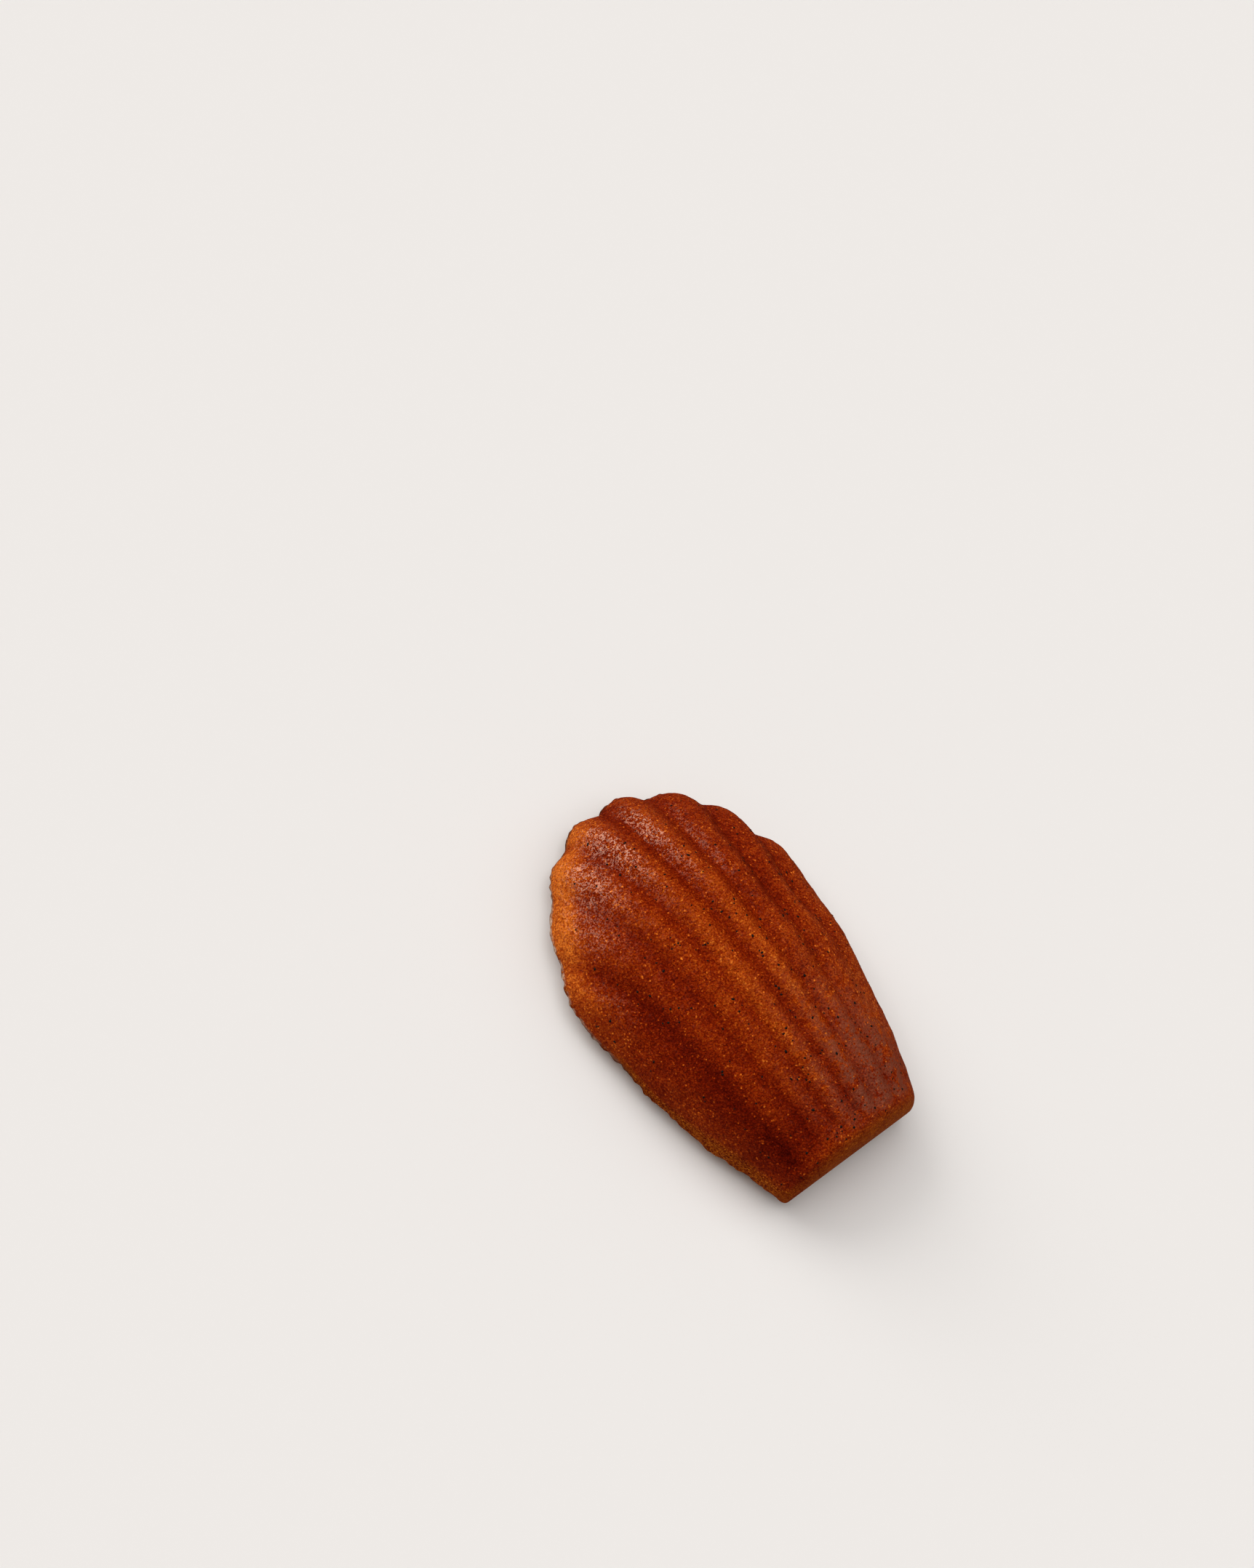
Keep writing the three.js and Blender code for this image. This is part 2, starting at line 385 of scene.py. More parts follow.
def grid_faces(rows, columns):
    """Quads of the grid, anticlockwise from above."""
    number = grid_numbers(rows, columns)
    corners = [number[:-1, :-1], number[:-1, 1:], number[1:, 1:], number[1:, :-1]]
    return np.stack(corners, axis=-1).reshape(-1, 4)


def rim_loop(rows, columns):
    """Numbers of the grid's outer points, once round, anticlockwise from above."""
    number = grid_numbers(rows, columns)
    return np.concatenate([number[0, :-1], number[:-1, -1], number[-1, :0:-1], number[:0:-1, 0]])


def belly_rings(rim, shape, surface):
    """Rings that shrink from the rim to the flat spot. The height is a power of the share of the way,
    with swells and dimples that fade out at the rim and on the flat spot."""
    shares = np.linspace(1, shape.flat_share, surface.belly_rings + 1)[1:, None]
    slope = np.clip((shares - shape.flat_share) / (1 - shape.flat_share), 0, 1)
    x = rim[None, :, 0] * shares
    y = rim[None, :, 1] * shares
    z = np.broadcast_to(shape.belly_depth * slope ** shape.belly_curve, x.shape)
    points = np.stack([x, y, z], axis=-1)
    swell = surface.belly_swell * ripple(points, surface.belly_swell_size, surface.seed + 4)
    dimple = surface.belly_dimple * ripple(points, surface.belly_dimple_size, surface.seed + 5)
    # 27 / 4 makes the fade 1 at its highest place, two thirds of the way up the slope.
    fade = 27 / 4 * slope ** 2 * (1 - slope)
    points[..., 2] = np.maximum(points[..., 2] + fade * (swell + dimple), 0)
    return points


def mesh_object(name, points, faces, material):
    """A smooth-shaded mesh object from an array of points and an array of quads or triangles."""
    mesh = bpy.data.meshes.new(name)
    sides = faces.shape[1]
    mesh.vertices.add(len(points))
    mesh.vertices.foreach_set("co", points.astype(np.float32).ravel())
    mesh.loops.add(faces.size)
    mesh.loops.foreach_set("vertex_index", faces.astype(np.int32).ravel())
    mesh.polygons.add(len(faces))
    mesh.polygons.foreach_set("loop_start", np.arange(0, faces.size, sides, dtype=np.int32))
    mesh.update(calc_edges=True)
    mesh.shade_smooth()
    mesh.materials.append(material)
    piece = bpy.data.objects.new(name, mesh)
    bpy.context.scene.collection.objects.link(piece)
    return piece


def point_values(piece, name, values):
    """Stores one number for each point of the piece."""
    attribute = piece.data.attributes.new(name, "FLOAT", "POINT")
    attribute.data.foreach_set("value", values.astype(np.float32).ravel())


# ---------------------------------------------------------------- masks

# A row is a bell: its strength, its place in u and v, and its width along u and along v.
# Darker crust: partly browned crust, partly painted shade, mostly on the left flank.
BROWNED_AND_PAINTED_SHADE = (
    (0.7, 0.3, -0.83, 0.3, 0.12),
    (0.7, 0.12, -0.65, 0.1, 0.25),
    (0.4, 0.68, -0.85, 0.12, 0.15),
    (0.3, 0.55, -0.62, 0.25, 0.1),
    (0.3, 0.75, 0.5, 0.25, 0.3),
    (0.25, 0.1, 0.1, 0.06, 0.6),
)
# Where the crust is lightened: partly lighter crust, partly a painted highlight on the middle ribs and
# painted light on the right flank.
LIGHTER_CRUST_AND_PAINTED_LIGHT = (
    (0.42, 0.5, 0.12, 0.3, 0.1),
    (0.5, 0.42, -0.19, 0.3, 0.09),
    (0.2, 0.45, 0.38, 0.25, 0.08),
    (0.25, 0.5, 0.75, 0.4, 0.2),
)
GLOSSY = (
    (0.35, 0.92, -0.6, 0.08, 0.1),
    (0.8, 0.95, -0.38, 0.1, 0.12),
    (1.2, 0.94, -0.14, 0.13, 0.13),
    (1.2, 0.92, 0.12, 0.13, 0.13),
    (0.3, 0.85, 0.35, 0.2, 0.2),
    (0.5, 0.85, -0.84, 0.06, 0.06),
    (0.15, 0.1, 0.25, 0.2, 0.5),
)
# Where a dull sheen is painted on the ribs near the narrow end.
PAINTED_SHEEN_BELLS = ((1.3, 0.12, 0.4, 0.22, 0.5),)
FLAKED = ((1.0, 1.0, -0.7, 1.0, 0.3),)
SMOOTHED = ((0.8, 0.96, -0.5, 0.1, 0.1),)

# Shares of the grooves' darkness, partly browner crust and partly painted shade, that are lost on the right
# half, and low on the right near the end.
RIGHT_LOSS = 0.3
RIGHT_LOW_LOSS = 0.8

# Strength of the lighter crust and painted glow low inside the left half of the wide rim.
RIM_PAINTED_GLOW = 1.2
GLOSS_EVERYWHERE = 0.05
GROOVE_GLOSS_LOSS = 0.5

# Height of the dry side band near the narrow end, and on the wide half.
NARROW_BAND = 6 * MM
WIDE_BAND = 3 * MM


def bells(rows, u, v):
    """Sum of bells, each e to minus the squared distances over the widths, times its strength."""
    return sum(strength * np.exp(-((u - at_u) / width_u) ** 2 - ((v - at_v) / width_v) ** 2)
               for strength, at_u, at_v, width_u, width_v in rows)


def groove_browning_and_shade(shell, u, v):
    """1 in the grooves, whose colour it darkens with browner crust and painted shade. It fades at the end
    wall and along the sides, and is fainter on the right half, more so low down near the narrow end, and
    where the rim's left lobes run together."""
    begins = smooth_step(u, 0.03, 0.12)
    fades = 1 - smooth_step(np.abs(v), *GROOVES_FADE)
    right = smooth_step(v, 0.1, 0.25)
    right_low = smooth_step(v, 0.4, 0.6) * (1 - smooth_step(u, 0.35, 0.65))
    left_over = begins * fades * (1 - RIGHT_LOSS * right) * (1 - RIGHT_LOW_LOSS * right_low)
    return shell.groove(v) * left_over * (1 - bells(SMOOTHED, u, v))


def painted_rim_glow(above, u, v):
    """1 low inside the left half of the wide rim, where lighter crust and a painted glow lie."""
    low = smooth_step(above, 9 * MM, 3 * MM)
    wide = smooth_step(u, 0.82, 0.97)
    left = smooth_step(v, -0.95, -0.72) * (1 - smooth_step(v, -0.25, 0))
    return low * wide * left


def side_band(above, u):
    """1 low along the sides, in a band that is lower on the wide half."""
    top = mix(NARROW_BAND, WIDE_BAND, smooth_step(u, 0.25, 0.6))
    return 1 - smooth_step(above / top, 0.5, 1)


def crust_masks(shell, u, v):
    """Masks for the crust's material, from 0 to 1. Dry is the end wall and the side band, and coarse is
    that band's coarser part. Gloss is where butter shines and the painted sheen is where the dull sheen of
    set butter is painted into the colour. Lip is the rim's dark edge and flake is the pale film on it."""
    hull = shell.hull(u, v)
    above = shell.above(hull)
    groove = groove_browning_and_shade(shell, u, v)
    band = side_band(above, u)
    wall = 1 - smooth_step(u, 0.015, 0.045)
    gloss = np.clip(bells(GLOSSY, u, v) + GLOSS_EVERYWHERE, 0, 1)
    veil = np.clip(bells(PAINTED_SHEEN_BELLS, u, v), 0, 1) * smooth_step(u, 0.03, 0.07)
    edge = smooth_step(above, 1.1 * MM, 0.4 * MM) * smooth_step(u, 0.75, 0.9)
    return {
        # Darker grooves: browner crust and painted shade.
        "groove": groove,
        # Browned crust and painted shade.
        "browning": np.clip(bells(BROWNED_AND_PAINTED_SHADE, u, v), 0, 1),
        # Lighter crust, with a painted glow inside the rim and painted highlights and light on the ribs.
        "glow": np.clip(RIM_PAINTED_GLOW * painted_rim_glow(above, u, v) + bells(LIGHTER_CRUST_AND_PAINTED_LIGHT, u, v), 0, 1),
        "dry": np.clip(wall + band * (1 - smooth_step(u, 0.75, 0.95)), 0, 1),
        "coarse": band * smooth_step(u, 0.02, 0.06) * (1 - smooth_step(u, 0.6, 0.9)),
        "gloss": gloss * (1 - GROOVE_GLOSS_LOSS * groove),
        "veil": veil * (1 - groove),
        "lip": shell.lip_profile(hull) * smooth_step(u, 0.55, 0.85),
        "flake": edge * bells(FLAKED, u, v),
    }


# ---------------------------------------------------------------- materials

# Spacing of the crust's patterns.
BROAD_SIZE = 7 * MM
PAINTED_SHEEN_PATCH_SIZE = 2.5 * MM
MOTTLE_SIZE = 1.4 * MM
FILM_WAVE_SIZE = 1.1 * MM
FLECK_PATCH_SIZE = 0.9 * MM
PORE_SIZE = 0.7 * MM
FLECK_SIZE = 0.68 * MM
PAINTED_SHEEN_GAP_SIZE = 0.62 * MM
LACE_SIZE = 0.52 * MM
CELL_SIZE = 0.5 * MM
WRINKLE_SIZE = 0.44 * MM
GRAIN_SIZE = 0.34 * MM
SEED_GRAIN_SIZE = 0.15 * MM

# Height of the crust's fine relief.
WRINKLE_HEIGHT = 0.5 * MM
FILM_HEIGHT = 0.2 * MM
PORE_DEPTH = 0.14 * MM
CELL_DEPTH = 0.12 * MM

# The crust's tone runs from 0, nearly burnt, to 1, its lightest grains. This is where its colours lie,
# and how far each mask and pattern shifts it.
COLOUR_PLACES = {"dark": 0.0, "deep": 0.3, "rib": 0.5, "light": 0.75, "fleck": 1.0}
PLAIN_TONE = 0.565
# Of these shifts, the gloss one is a faint painted highlight under the shine, the groove and browning ones
# are partly painted shade, and the glow one partly a painted glow and highlight.
MASK_TONE = {"groove": -0.17, "browning": -0.3, "glow": 0.36, "gloss": 0.02, "coarse": 0.05}
BROAD_TONE = 0.22
MOTTLE_TONE = 0.34
WRINKLE_TONE = 0.5
CELL_TONE = 0.2
CELL_MEAN = 0.45
FLECK_TONE = 0.44
TEXTURE_SHIFT = -0.03
COARSE_TEXTURE = 1.3

PLAIN_ROUGHNESS = 0.5
MASK_ROUGHNESS = {"dry": 0.35, "browning": 0.1, "belly": 0.3}
MOTTLE_ROUGHNESS = 0.3

DRY_SHARE = 0.7
DRY_CONTRAST = 1.5
DRY_SHIFT = -0.35
SHINE_SHARE = 0.13
SHINE_ROUGHNESS = 0.3


class Value:
    """A socket that Python arithmetic works on: each operator adds a Math node."""

    def __init__(self, shader, socket):
        self.shader = shader
        self.socket = socket

    def math(self, operation, first, second, clamp=False):
        math_settings = {"operation": operation, "use_clamp": clamp}
        return self.shader.node("ShaderNodeMath", math_settings, {0: first, 1: second})

    def __add__(self, other):
        return self.math("ADD", self, other)

    def __sub__(self, other):
        return self.math("SUBTRACT", self, other)

    def __rsub__(self, other):
        return self.math("SUBTRACT", other, self)

    def __mul__(self, other):
        return self.math("MULTIPLY", self, other)

    __radd__ = __add__
    __rmul__ = __mul__

    def clamped(self):
        return self.math("ADD", self, 0.0, clamp=True)


class Shader:
    """A new material with a Principled surface, and short ways to add nodes to it."""

    def __init__(self, name):
        self.material = bpy.data.materials.new(name)
        self.material.use_nodes = True
        self.tree = self.material.node_tree
        self.tree.nodes.clear()
        self.surface = self.tree.nodes.new("ShaderNodeBsdfPrincipled")
        self.output = self.tree.nodes.new("ShaderNodeOutputMaterial")
        self.tree.links.new(self.surface.outputs["BSDF"], self.output.inputs["Surface"])

    def node(self, kind, node_settings, inputs, output=0):
        """Adds a node: its settings first, then the values or links of its sockets. A colour ramp's stops
        are pairs of a place and a colour."""
        node = self.tree.nodes.new(kind)
        for name, value in node_settings.items():
            if name == "stops":
                self.set_stops(node.color_ramp, value)
            else:
                setattr(node, name, value)
        for place, value in inputs.items():
            self.feed(node.inputs[place], value)
        return Value(self, node.outputs[output])

    @staticmethod
    def set_stops(ramp, stops):
        while len(ramp.elements) < len(stops):
            ramp.elements.new(1.0)
        for element, (place, tint) in zip(ramp.elements, stops):
            element.position = place
            element.color = tint

    def feed(self, socket, value):
        """Links a Value to a socket, or sets the socket to a plain value."""
        if isinstance(value, Value):
            self.tree.links.new(value.socket, socket)
        else:
            socket.default_value = value

    def set(self, **sockets):
        """Feeds the surface's sockets. Underscores in a name stand for spaces."""
        for name, value in sockets.items():
            self.feed(self.surface.inputs[name.replace("_", " ")], value)

    def object_place(self):
        return self.node("ShaderNodeTexCoord", {}, {}, "Object")

    def attribute(self, name):
        return self.node("ShaderNodeAttribute", {"attribute_name": name}, {}, "Fac")

    def noise(self, place, size, detail=2.0, roughness=0.5, distortion=0.0):
        """Smooth noise whose features are about size metres apart."""
        inputs = {"Vector": place, "Scale": 1 / size, "Detail": detail, "Roughness": roughness,
                  "Distortion": distortion}
        return self.node("ShaderNodeTexNoise", {}, inputs, "Fac")

    def cells(self, place, size, feature="F1"):
        """Distance to the nearest of scattered points about size metres apart."""
        inputs = {"Vector": place, "Scale": 1 / size}
        return self.node("ShaderNodeTexVoronoi", {"feature": feature}, inputs, "Distance")

    def ramp(self, value, low, high):
        """0 below low, 1 above high, and smooth in between."""
        inputs = {"Value": value, "From Min": low, "From Max": high}
        return self.node("ShaderNodeMapRange", {"interpolation_type": "SMOOTHSTEP"}, inputs, "Result")

    def blend(self, factor, first, second):
        """Mixes two colours. The Mix node's colour sockets are its inputs 6 and 7 and its output 2."""
        return self.node("ShaderNodeMix", {"data_type": "RGBA"}, {0: factor, 6: first, 7: second}, 2)

    def bump(self, height, distance, normal=None):
        """Bends the normal by a height from 0 to 1 times distance in metres."""
        inputs = {"Height": height, "Distance": distance, "Strength": 1.0}
        if normal is not None:
            inputs["Normal"] = normal
        return self.node("ShaderNodeBump", {}, inputs)


def rgba(value):
    """A colour with full alpha."""
    return (*value, 1.0)


class Crust(Shader):
    """Buttery browned crust: a mottled, grained colour with painted shade and light, a fine relief, and a
    lace of butter that shines.
    """

    def __init__(self, colours, mask_names):
        super().__init__("crust")
        self.colours = colours
        self.place = self.object_place()
        self.mask = {name: self.attribute(name) for name in mask_names}
        self.broad = self.noise(self.place, BROAD_SIZE, detail=3) - 0.5
        self.mottle = self.noise(self.place, MOTTLE_SIZE, detail=3, roughness=0.6) - 0.5
        self.wrinkle = self.noise(self.place, WRINKLE_SIZE, roughness=0.6, distortion=1.2)
        self.cell = self.cells(self.place, CELL_SIZE, "SMOOTH_F1")
        self.set_surface()
        self.add_shine()

    def texture(self):
        """Fine changes of tone: noise, wrinkles, cells that are lighter at their middle, and flecks in
        patches."""
        grain = self.noise(self.place, GRAIN_SIZE, roughness=0.65) - 0.5
        spots = 1 - self.ramp(self.cells(self.place, FLECK_SIZE), 0.12, 0.42)
        flecks = spots * self.ramp(self.noise(self.place, FLECK_PATCH_SIZE), 0.5, 0.62)
        texture = grain + (self.wrinkle - 0.5) * WRINKLE_TONE + (CELL_MEAN - self.cell) * CELL_TONE
        return texture + flecks * FLECK_TONE + TEXTURE_SHIFT

    def tone(self, texture):
        """Lightness of the crust, from nearly burnt (0) to its lightest grains (1)."""
        tone = PLAIN_TONE + self.broad * BROAD_TONE + self.mottle * MOTTLE_TONE
        # The masks add painted shade, glow and highlight to the tone, as well as browning and lighter
        # crust.
        for name, shift in MASK_TONE.items():
            tone = tone + self.mask[name] * shift
        return tone + texture * (1 + self.mask["coarse"] * COARSE_TEXTURE)

    def veil(self, texture):
        """Painted dull sheen of set butter, in patches with small round gaps."""
        round_gaps = self.ramp(self.cells(self.place, PAINTED_SHEEN_GAP_SIZE), 0.24, 0.42)
        patches = self.ramp(self.noise(self.place, PAINTED_SHEEN_PATCH_SIZE, detail=4, roughness=0.65), 0.41, 0.5)
        return (self.mask["veil"] * patches * round_gaps * (0.95 + texture * 1.2)).clamped()

    def tint(self):
        """Colour of the whole surface: the browned crust with its painted shade and painted glow, and over
        it in turn the dry crust, the painted dull sheen, the belly, the rim's edge and its flakes, each
        broken up by the patterns."""
        colours, mask, mottle = self.colours, self.mask, self.mottle
        texture = self.texture()
        tone = self.tone(texture)
        stops = [(at, rgba(getattr(colours, name))) for name, at in COLOUR_PLACES.items()]
        tint = self.node("ShaderNodeValToRGB", {"stops": stops}, {"Fac": tone.clamped()}, "Color")
        lightness = (tone * DRY_CONTRAST + DRY_SHIFT).clamped()
        tan = self.blend(lightness, rgba(colours.deep), rgba(colours.dry))
        tint = self.blend(mask["dry"] * DRY_SHARE, tint, tan)
        # Painted dull sheen over the crust.
        tint = self.blend(self.veil(texture), tint, rgba(colours.veil))
        browned = (0.6 + self.broad * 2.5 + mottle * 1.5).clamped()
        back = self.blend(browned, rgba(colours.belly_brown), rgba(colours.belly))
        tint = self.blend(mask["belly"], tint, back)
        tint = self.blend((mask["lip"] * (0.9 + mottle * 2)).clamped(), tint, rgba(colours.lip))
        return self.blend((mask["flake"] * (0.4 + mottle * 5)).clamped(), tint, rgba(colours.flake))

    def relief(self):
        """Wrinkles and slightly raised cells, and pores where the crust is dry."""
        pores = self.ramp(self.cells(self.place, PORE_SIZE), 0.0, 0.35)
        normal = self.bump(self.wrinkle, WRINKLE_HEIGHT)
        normal = self.bump(self.cell * -1.0, CELL_DEPTH, normal)
        return self.bump(pores * self.mask["dry"], PORE_DEPTH, normal)

    def set_surface(self):
        """Feeds the colour, the roughness and the relief to the surface, which reflects only faintly."""
        roughness = PLAIN_ROUGHNESS + self.mottle * MOTTLE_ROUGHNESS
        for name, change in MASK_ROUGHNESS.items():
            roughness = roughness + self.mask[name] * change
        self.set(Base_Color=self.tint(), Roughness=roughness.clamped(), Normal=self.relief())
        self.set(IOR=1.45, Specular_IOR_Level=0.03, Specular_Tint=rgba(self.colours.reflection))

    def add_shine(self):
        """Mixes in a little of a tinted mirror where a lace of butter lies on the crust."""
        lace = self.ramp(self.noise(self.place, LACE_SIZE, detail=1, distortion=1.5), 0.51, 0.6)
        buttered = (1 - self.mask["dry"]) * (1 - self.mask["belly"])
        amount = self.mask["gloss"] * SHINE_SHARE * lace * (1 + self.mottle * 2) * buttered
        film = self.node("ShaderNodeBsdfPrincipled", {}, {
            "Base Color": rgba(self.colours.gloss),
            "Metallic": 1.0,
            "Roughness": SHINE_ROUGHNESS,
            "Normal": self.bump(self.noise(self.place, FILM_WAVE_SIZE, detail=1), FILM_HEIGHT),
        })
        crust = Value(self, self.surface.outputs["BSDF"])
        mixed = self.node("ShaderNodeMixShader", {}, {0: amount.clamped(), 1: crust, 2: film})
        self.feed(self.output.inputs["Surface"], mixed)


def seed_material(colours):
    """Nearly black vanilla seed, with a faint brown cast."""
    shader = Shader("vanilla_seed")
    shade = shader.noise(shader.object_place(), SEED_GRAIN_SIZE)
    tint = shader.blend(shade, rgba(colours.speck), rgba(colours.speck_brown))
    shader.set(Base_Color=tint, Roughness=0.5 + shade * 0.2, Specular_IOR_Level=0.1)
    return shader.material


def floor_material(studio):
    """Plain pale floor."""
    shader = Shader("floor")
    shader.set(Base_Color=rgba(studio.floor), Roughness=0.9, Specular_IOR_Level=0.1)
    return shader.material


# ---------------------------------------------------------------- pieces

class OBJECT_OT_cake_crust(bpy.types.Operator):
    """Makes the whole cake as one closed mesh with its crust"""
    bl_idname = "object.cake_crust"
    bl_label = "Cake"

    def execute(self, context):
        shape, surface = settings("cake_shape"), settings("cake_surface")
        shell = Shell(shape, surface)
        u, v = np.meshgrid(crowded_rows(surface.rows), crowded_columns(surface.columns), indexing="ij")
        top = shell.points(u, v).reshape(-1, 3)
        rim = rim_loop(surface.rows, surface.columns)
        rings = belly_rings(top[rim], shape, surface).reshape(-1, 3)
        middle = np.zeros((1, 3))
        points = np.concatenate([top, rings, middle])
        ring_quads, fan = self.belly_faces(rim, len(top), surface.belly_rings)
        faces = np.concatenate([grid_faces(surface.rows, surface.columns), ring_quads, fan])
        masks = crust_masks(shell, u, v)
        crust = Crust(settings("cake_colours"), [*masks, "belly"])
        piece = mesh_object("cake_crust", points, faces, crust.material)
        self.store_masks(piece, masks, len(top), len(points) - len(top))
        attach(piece, "root")
        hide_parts("cake")
        return {"FINISHED"}

    @staticmethod
    def belly_faces(rim, first, ring_count):
        """Quads between neighbouring rings, and quads that close the flat spot as a fan of pairs."""
        size = len(rim)
        loops = np.concatenate([rim[None], first + np.arange(ring_count * size).reshape(ring_count, size)])
        ahead = np.roll(loops, -1, axis=1)
        quads = np.stack([loops[:-1], loops[1:], ahead[1:], ahead[:-1]], axis=-1).reshape(-1, 4)
        last = loops[-1]
        middle = np.full(size // 2, first + ring_count * size)
        fan = np.stack([last[0::2], middle, np.roll(last, -2)[0::2], last[1::2]], axis=-1)
        return quads, fan

    @staticmethod
    def store_masks(piece, masks, top_count, belly_count):
        """Stores the crust's masks, which are 0 on the belly, and the belly's own, which is 1 there."""
        for name, values in masks.items():
            point_values(piece, name, np.concatenate([values.ravel(), np.zeros(belly_count)]))
        point_values(piece, "belly", np.concatenate([np.zeros(top_count), np.ones(belly_count)]))


# Ranges of u and v that seeds are scattered over, and that clusters are centred in.
SCATTER_FROM, SCATTER_TO = (0.03, -0.97), (0.97, 0.97)
CLUSTER_FROM, CLUSTER_TO = (0.1, -0.8), (0.9, 0.8)
CLUSTER_SPREAD = (0.02, 0.03)
SEED_MARGIN = 0.02


class OBJECT_OT_vanilla_specks(bpy.types.Operator):
    """Scatters vanilla seeds over the ribbed shell, as one joined mesh"""
    bl_idname = "object.vanilla_specks"
    bl_label = "Vanilla specks"

    def execute(self, context):
        surface, specks = settings("cake_surface"), settings("cake_specks")
        shell = Shell(settings("cake_shape"), surface)
        rng = np.random.default_rng(surface.seed + 20)
        u, v = self.scatter(specks, rng)
        points, faces = self.seeds(shell.points(u, v), shell.normals(u, v), specks, rng)
        piece = mesh_object("vanilla_specks", points, faces, seed_material(settings("cake_colours")))
        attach(piece, "root")
        return {"FINISHED"}

    @staticmethod
    def scatter(specks, rng):
        """Places in u and v: single seeds, evenly at random, and clusters with a normal spread."""
        scattered = rng.uniform(SCATTER_FROM, SCATTER_TO, size=(specks.scattered, 2))
        centres = rng.uniform(CLUSTER_FROM, CLUSTER_TO, size=(specks.clusters, 2))
        offsets = rng.normal(size=(specks.clusters, specks.in_cluster, 2)) * CLUSTER_SPREAD
        clustered = (centres[:, None] + offsets).reshape(-1, 2)
        u, v = np.concatenate([scattered, clustered]).T
        return np.clip(u, SEED_MARGIN, 1 - SEED_MARGIN), np.clip(v, SEED_MARGIN - 1, 1 - SEED_MARGIN)

    @staticmethod
    def seeds(seats, normals, specks, rng):
        """Flat double cones with a ring of corners: each corner is the seat plus a cosine and a sine of its
        angle along two directions in the surface, and the tips lie above and below."""
        total, corners = len(seats), specks.corners
        helper = rng.normal(size=(total, 3))
        first = unit(np.cross(normals, helper))
        second = np.cross(normals, first)
        radius = rng.uniform(specks.smallest, specks.largest, size=(total, 1))
        stretch = rng.uniform(1.0, specks.stretch, size=(total, 1))
        turn = np.linspace(0, 2 * math.pi, corners, endpoint=False)[None, :, None]
        ring = (seats[:, None]
                + (first * radius * stretch)[:, None] * np.cos(turn)
                + (second * radius)[:, None] * np.sin(turn))
        tip = normals * specks.tip
        points = np.concatenate([ring, (seats + tip)[:, None], (seats - tip)[:, None]], axis=1)
        corner = np.arange(corners)
        ahead = (corner + 1) % corners
        top = np.stack([corner, ahead, np.full(corners, corners)], axis=1)
        bottom = np.stack([ahead, corner, np.full(corners, corners + 1)], axis=1)
        one = np.concatenate([top, bottom])
        faces = one[None] + (np.arange(total) * (corners + 2))[:, None, None]
        return points.reshape(-1, 3), faces.reshape(-1, 3)


# A square with sides of 1 round the origin.
FLOOR_QUAD = np.array([[-0.5, -0.5, 0], [0.5, -0.5, 0], [0.5, 0.5, 0], [-0.5, 0.5, 0]])


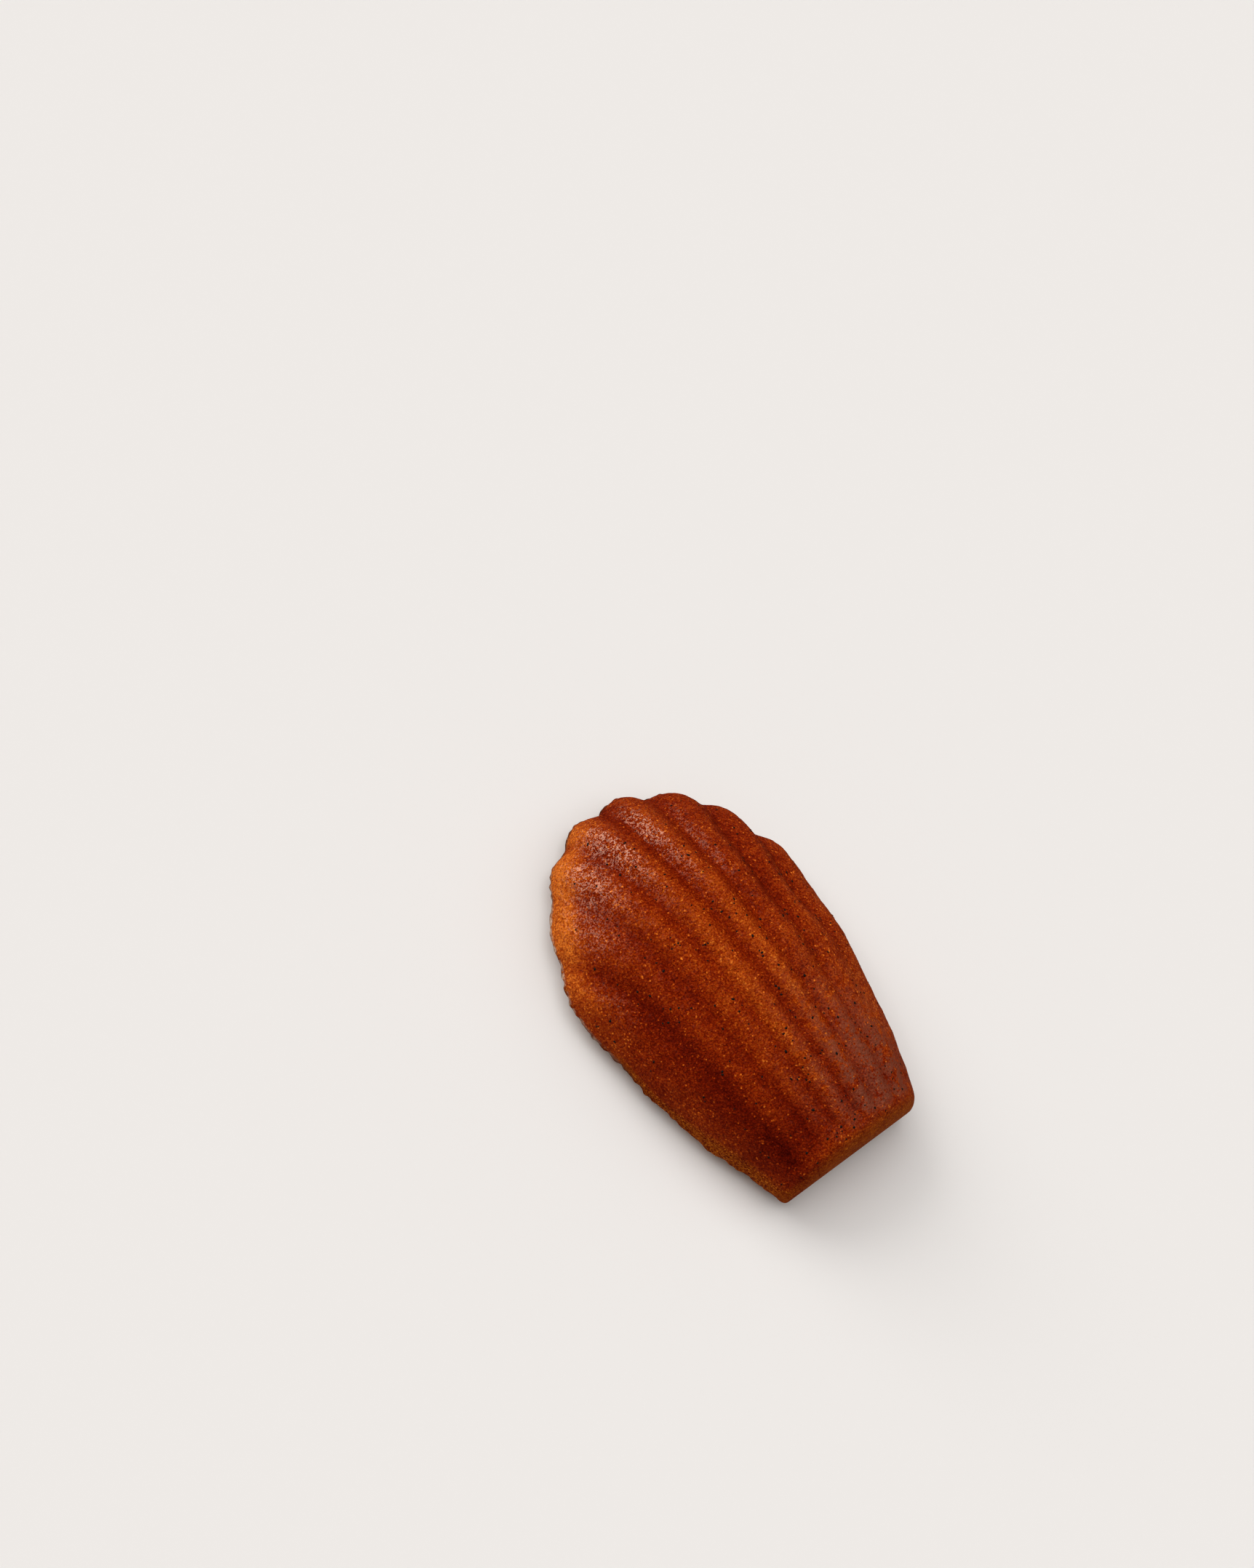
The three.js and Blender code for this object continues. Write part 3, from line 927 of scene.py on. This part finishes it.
class SCENE_OT_cake_studio(bpy.types.Operator):
    """Makes the floor, the lights and the camera"""
    bl_idname = "scene.cake_studio"
    bl_label = "Studio"

    def execute(self, context):
        studio = settings("cake_studio")
        self.make_floor(studio)
        self.make_lights(context.scene, studio)
        self.make_sky(context.scene, studio)
        self.make_camera(context.scene, studio)
        context.scene.view_settings.view_transform = "Standard"
        return {"FINISHED"}

    @staticmethod
    def make_floor(studio):
        corners = FLOOR_QUAD * studio.floor_width
        floor = mesh_object("floor", corners, np.array([[0, 1, 2, 3]]), floor_material(studio))
        floor.visible_glossy = False

    @staticmethod
    def make_lights(scene, studio):
        def sun(name, towards, strength, width, glint=False):
            """A far, round light, its width in degrees. A glint shows only in the shine, and the others
            only light the cake."""
            light = bpy.data.lights.new(name, "SUN")
            light.energy = strength
            light.angle = math.radians(width)
            light.color = studio.lamp
            lamp = bpy.data.objects.new(name, light)
            lamp.rotation_mode = "QUATERNION"
            lamp.rotation_quaternion = Vector(towards).to_track_quat("Z", "Y")
            lamp.visible_glossy = glint
            lamp.visible_diffuse = not glint
            scene.collection.objects.link(lamp)

        overhead = (0.45, -0.3, 0.84)
        sun("window", (-0.15, 0.85, 0.5), strength=1.2, width=40)
        sun("key", (0.0, 0.4, 0.91), strength=1.5, width=64)
        sun("overhead", overhead, strength=0.55, width=60)
        sun("window_glint", (-0.35, 0.85, 0.38), strength=3.9, width=80, glint=True)
        sun("overhead_glint", overhead, strength=0.8, width=60, glint=True)

    @staticmethod
    def make_sky(scene, studio):
        """Even light from all round, which the shine doesn't mirror."""
        world = bpy.data.worlds.new("studio")
        world.use_nodes = True
        sky = world.node_tree.nodes["Background"]
        sky.inputs["Color"].default_value = rgba(studio.sky)
        sky.inputs["Strength"].default_value = studio.sky_strength
        scene.world = world
        world.cycles_visibility.glossy = False

    @staticmethod
    def make_camera(scene, studio):
        """Stands at the azimuth and elevation round the point aimed at, turned about its line of sight."""
        back = Vector((math.sin(studio.azimuth) * math.cos(studio.elevation),
                       -math.cos(studio.azimuth) * math.cos(studio.elevation),
                       math.sin(studio.elevation)))
        lens = bpy.data.cameras.new("camera")
        lens.lens = studio.lens
        lens.sensor_width = 36
        lens.clip_start = 0.01
        lens.clip_end = 20
        camera = bpy.data.objects.new("camera", lens)
        aim = Vector((studio.aim_x, studio.aim_y, 0))
        turn = back.to_track_quat("Z", "Y").to_matrix().to_4x4() @ Matrix.Rotation(studio.roll, 4, "Z")
        camera.matrix_world = Matrix.Translation(aim + back * studio.distance) @ turn
        scene.collection.objects.link(camera)
        scene.camera = camera


class VIEW3D_PT_shell_cake(bpy.types.Panel):
    """Lists the pieces of the cake"""
    bl_label = "Shell Cake"
    bl_idname = "VIEW3D_PT_shell_cake"
    bl_space_type = "VIEW_3D"
    bl_region_type = "UI"
    bl_category = "Shell Cake"

    def draw(self, context):
        for operator in OPERATORS:
            self.layout.operator(operator.bl_idname)
        for name in GROUPS:
            group = getattr(context.scene, name)
            box = self.layout.box()
            for key in group.bl_rna.properties.keys():
                if key not in {"rna_type", "name"}:
                    box.prop(group, key)


GROUPS = {
    "cake_shape": CakeShape,
    "cake_surface": CakeSurface,
    "cake_colours": CakeColours,
    "cake_specks": Specks,
    "cake_studio": Studio,
}
OPERATORS = (OBJECT_OT_cake_crust, OBJECT_OT_vanilla_specks, SCENE_OT_cake_studio)


def register():
    for group in GROUPS.values():
        bpy.utils.register_class(group)
    for name, group in GROUPS.items():
        setattr(bpy.types.Scene, name, bpy.props.PointerProperty(type=group))
    for kind in (*OPERATORS, VIEW3D_PT_shell_cake):
        bpy.utils.register_class(kind)


def unregister():
    for kind in reversed((*OPERATORS, VIEW3D_PT_shell_cake)):
        bpy.utils.unregister_class(kind)
    for name in GROUPS:
        delattr(bpy.types.Scene, name)
    for group in reversed(tuple(GROUPS.values())):
        bpy.utils.unregister_class(group)


def main():
    register()
    bpy.ops.object.cake_crust()
    bpy.ops.object.vanilla_specks()
    bpy.ops.scene.cake_studio()


if __name__ == "__main__":
    main()
